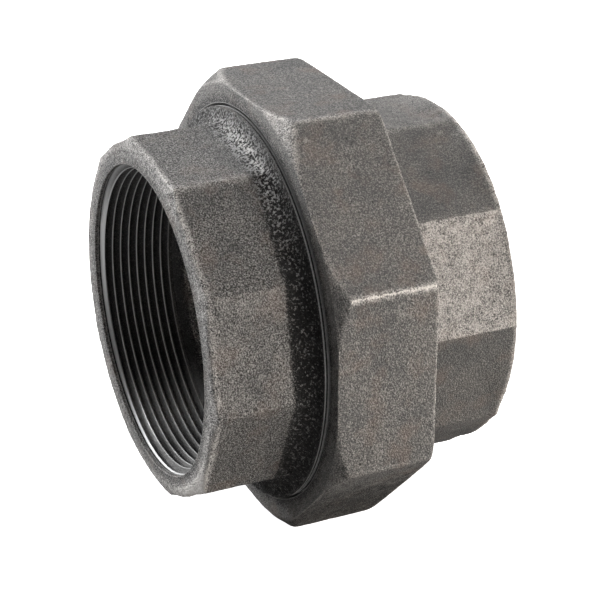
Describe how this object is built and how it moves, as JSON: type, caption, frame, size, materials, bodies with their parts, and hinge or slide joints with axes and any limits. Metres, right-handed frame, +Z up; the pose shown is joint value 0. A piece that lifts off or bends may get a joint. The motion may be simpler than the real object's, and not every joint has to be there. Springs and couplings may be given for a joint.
{
  "type": "pipe union",
  "caption": "Screwed pipe union: two threaded pipe ends with wrench flats, drawn together by a loose octagon nut against a ball joint on a brass seat ring.",
  "frame": {"origin": "on the pipe axis, halfway between the two pipe ends", "axes": "+X along the pipe axis from the threaded body to the tailpiece, +Z up and square to a flat of the nut"},
  "size_m": [0.1146, 0.1574, 0.1574],
  "materials": {
    "body_iron": "black malleable iron, sand-cast skin, machined threads",
    "seat_brass": "turned brass, dull",
    "nut_iron": "black malleable iron, sand-cast skin, worn edges",
    "tail_iron": "black malleable iron, sand-cast skin, machined threads"
  },
  "bodies": {
    "threaded_body": {"union_body": "body_iron", "seat_ring": "seat_brass"},
    "tail": {"tailpiece": "tail_iron"},
    "nut": {"union_nut": "nut_iron"}
  },
  "joints": [
    {"name": "tail_slide", "type": "slide", "parent": "threaded_body", "child": "tail", "axis": [1, 0, 0], "range_m": [0, 0.01906]},
    {"name": "nut_spin", "type": "hinge", "parent": "tail", "child": "nut", "pos_m": [0, 0, 0], "axis": [1, 0, 0], "range_deg": [0, 2160]}
  ],
  "couplings": [
    {"joint": "tail_slide", "follows": "nut_spin", "m_per_rad": 0.00050532}
  ]
}
